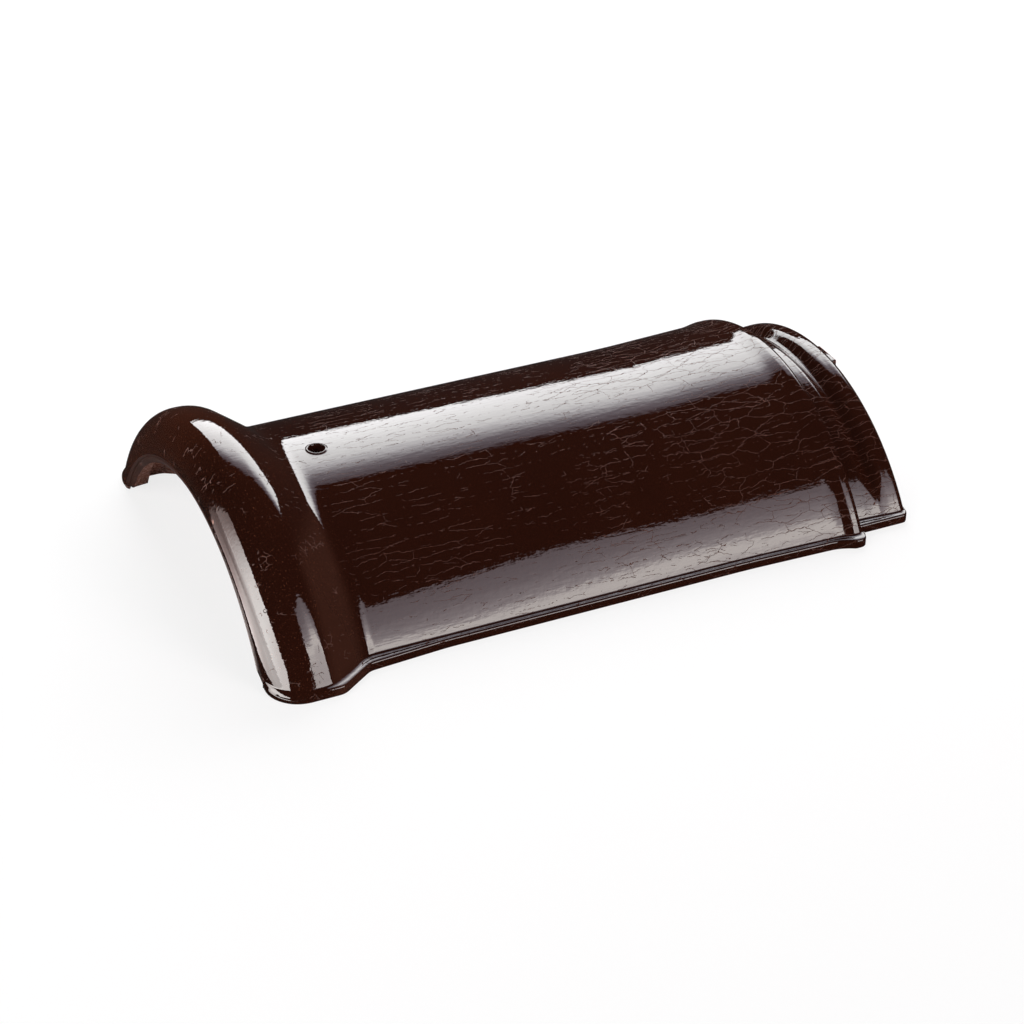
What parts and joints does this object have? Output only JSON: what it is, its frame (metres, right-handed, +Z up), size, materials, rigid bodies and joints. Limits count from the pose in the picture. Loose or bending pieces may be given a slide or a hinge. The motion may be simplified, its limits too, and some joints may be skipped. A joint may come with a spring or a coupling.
{
  "type": "glazed ridge tile",
  "caption": "Half-round clay ridge tile with a rolled collar at one end, a stepped and rimmed tail at the other, and a fixing hole at the crown.",
  "frame": {"origin": "middle of the tile's box, on the base that its feet rest on", "axes": "+X along the length from the collar to the tail, +Y across, +Z up to the crown"},
  "size_m": [0.3996, 0.2634, 0.0875],
  "materials": {
    "glazed_clay": "glossy dark brown glaze with a fine crackle, bare red clay underneath"
  },
  "bodies": {
    "root": {"ridge_tile": "glazed_clay"}
  },
  "joints": []
}
